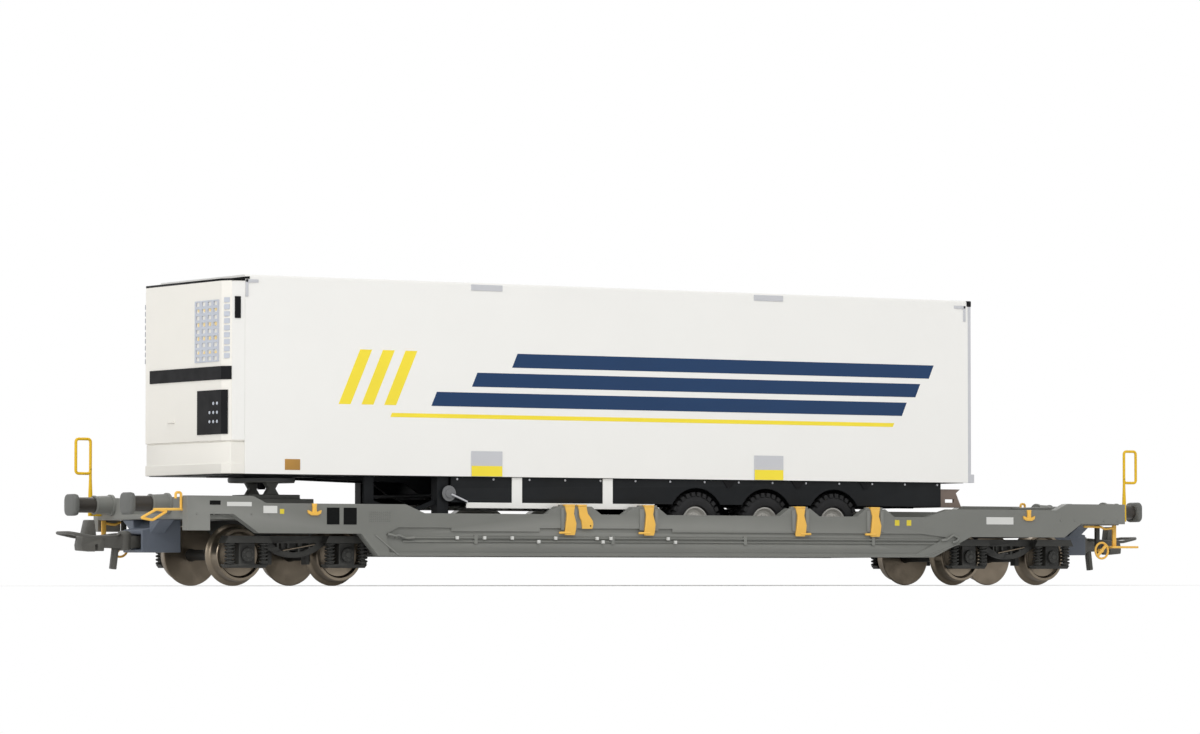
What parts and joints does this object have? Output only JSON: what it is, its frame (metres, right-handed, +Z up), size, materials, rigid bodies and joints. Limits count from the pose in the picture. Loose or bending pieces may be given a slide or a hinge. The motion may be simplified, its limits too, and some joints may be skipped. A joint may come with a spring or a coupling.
{
  "type": "model pocket wagon with semi-trailer",
  "caption": "Scale model bogie flat wagon with a low pocket between side beams, carrying a boxy refrigerated semi-trailer on its kingpin support; wheels, bogies and couplers move.",
  "frame": {"origin": "on the floor under the middle of the wagon, at the bottom of the wheel flanges", "axes": "+X along the wagon towards the rear of the trailer, +Y across, +Z up"},
  "size_m": [0.2236, 0.0344, 0.0514],
  "materials": {
    "wagon_grey": "moulded grey, matt",
    "bogie_dark": "moulded dark grey, matt",
    "wheel_steel": "turned steel, burnished brown",
    "clamp_yellow": "orange yellow paint",
    "rail_yellow": "yellow painted wire",
    "coupler_dark": "dark grey nylon",
    "housing_blue_grey": "blue grey moulding",
    "buffer_dark": "dark grey",
    "body_white": "off-white satin print",
    "unit_cream": "cream satin moulding",
    "chassis_black": "black moulding",
    "bumper_brown": "brown grey",
    "grille_grey": "pale blue grey print",
    "frame_grey": "light grey",
    "trim_black": "black print",
    "lamp_red": "red lenses",
    "hub_grey": "light grey",
    "tyre": "black rubber with block tread"
  },
  "bodies": {
    "wagon": {"side_beam_near": "wagon_grey", "side_beam_far": "wagon_grey", "pocket_tub": "wagon_grey", "end_deck_front": "wagon_grey", "end_deck_rear": "wagon_grey", "headstock_front": "wagon_grey", "headstock_rear": "wagon_grey", "kingpin_support": "wagon_grey", "bolster_front": "bogie_dark", "bolster_rear": "bogie_dark", "coupler_housing_front": "housing_blue_grey", "coupler_housing_rear": "housing_blue_grey", "buffers_front": "buffer_dark", "buffers_rear": "buffer_dark", "railing_front": "rail_yellow", "railing_rear": "rail_yellow", "container_flaps_near": "clamp_yellow", "container_flaps_far": "clamp_yellow", "shunter_fittings_front": "clamp_yellow", "shunter_fittings_rear": "clamp_yellow"},
    "bogie_front": {"bogie_frame_front": "bogie_dark", "axle_boxes_front": "bogie_dark", "springs_front": "bogie_dark", "brake_blocks_front": "bogie_dark"},
    "wheelset_front_1": {"wheelset_front_1": "wheel_steel"},
    "wheelset_front_2": {"wheelset_front_2": "wheel_steel"},
    "coupler_front": {"coupler_front": "coupler_dark"},
    "bogie_rear": {"bogie_frame_rear": "bogie_dark", "axle_boxes_rear": "bogie_dark", "springs_rear": "bogie_dark", "brake_blocks_rear": "bogie_dark"},
    "wheelset_rear_1": {"wheelset_rear_1": "wheel_steel"},
    "wheelset_rear_2": {"wheelset_rear_2": "wheel_steel"},
    "coupler_rear": {"coupler_rear": "coupler_dark"},
    "trailer": {"trailer_floor": "body_white", "trailer_roof": "body_white", "trailer_side_near": "body_white", "trailer_side_far": "body_white", "trailer_front_wall": "body_white", "trailer_rear_doors": "body_white", "side_skirt_near": "body_white", "side_skirt_far": "body_white", "cooling_unit": "unit_cream", "unit_grille": "grille_grey", "trailer_rear_frame": "frame_grey", "lift_pads": "frame_grey", "unit_trim": "trim_black", "trailer_chassis": "chassis_black", "kingpin_plate": "chassis_black", "landing_gear": "chassis_black", "side_panel_near": "chassis_black", "side_panel_far": "chassis_black", "rear_bumper": "bumper_brown", "tail_lamps": "lamp_red"},
    "trailer_wheels_1": {"trailer_hubs_1": "hub_grey", "trailer_tyres_1": "tyre"},
    "trailer_wheels_2": {"trailer_hubs_2": "hub_grey", "trailer_tyres_2": "tyre"},
    "trailer_wheels_3": {"trailer_hubs_3": "hub_grey", "trailer_tyres_3": "tyre"}
  },
  "joints": [
    {"name": "bogie_front_swivel", "type": "hinge", "parent": "wagon", "child": "bogie_front", "pos_m": [-0.07435, 0, 0.0067], "axis": [0, 0, 1], "range_deg": [-8, 8]},
    {"name": "wheelset_front_1_spin", "type": "hinge", "parent": "bogie_front", "child": "wheelset_front_1", "pos_m": [-0.08384, 0, 0.00516], "axis": [0, 1, 0], "continuous": true},
    {"name": "wheelset_front_2_spin", "type": "hinge", "parent": "bogie_front", "child": "wheelset_front_2", "pos_m": [-0.06487, 0, 0.00516], "axis": [0, 1, 0], "continuous": true},
    {"name": "coupler_front_swing", "type": "hinge", "parent": "wagon", "child": "coupler_front", "pos_m": [-0.094, 0, 0.0073], "axis": [0, 0, 1], "range_deg": [-8, 8]},
    {"name": "bogie_rear_swivel", "type": "hinge", "parent": "wagon", "child": "bogie_rear", "pos_m": [0.07435, 0, 0.0067], "axis": [0, 0, 1], "range_deg": [-8, 8]},
    {"name": "wheelset_rear_1_spin", "type": "hinge", "parent": "bogie_rear", "child": "wheelset_rear_1", "pos_m": [0.06487, 0, 0.00516], "axis": [0, 1, 0], "continuous": true},
    {"name": "wheelset_rear_2_spin", "type": "hinge", "parent": "bogie_rear", "child": "wheelset_rear_2", "pos_m": [0.08384, 0, 0.00516], "axis": [0, 1, 0], "continuous": true},
    {"name": "coupler_rear_swing", "type": "hinge", "parent": "wagon", "child": "coupler_rear", "pos_m": [0.094, 0, 0.0073], "axis": [0, 0, 1], "range_deg": [-8, 8]},
    {"name": "trailer_lift", "type": "slide", "parent": "wagon", "child": "trailer", "axis": [0, 0, 1], "range_m": [0, 0.04]},
    {"name": "trailer_wheels_1_spin", "type": "hinge", "parent": "trailer", "child": "trailer_wheels_1", "pos_m": [0.0042, 0, 0.0111], "axis": [0, 1, 0], "continuous": true},
    {"name": "trailer_wheels_2_spin", "type": "hinge", "parent": "trailer", "child": "trailer_wheels_2", "pos_m": [0.0189, 0, 0.0111], "axis": [0, 1, 0], "continuous": true},
    {"name": "trailer_wheels_3_spin", "type": "hinge", "parent": "trailer", "child": "trailer_wheels_3", "pos_m": [0.0336, 0, 0.0111], "axis": [0, 1, 0], "continuous": true}
  ]
}
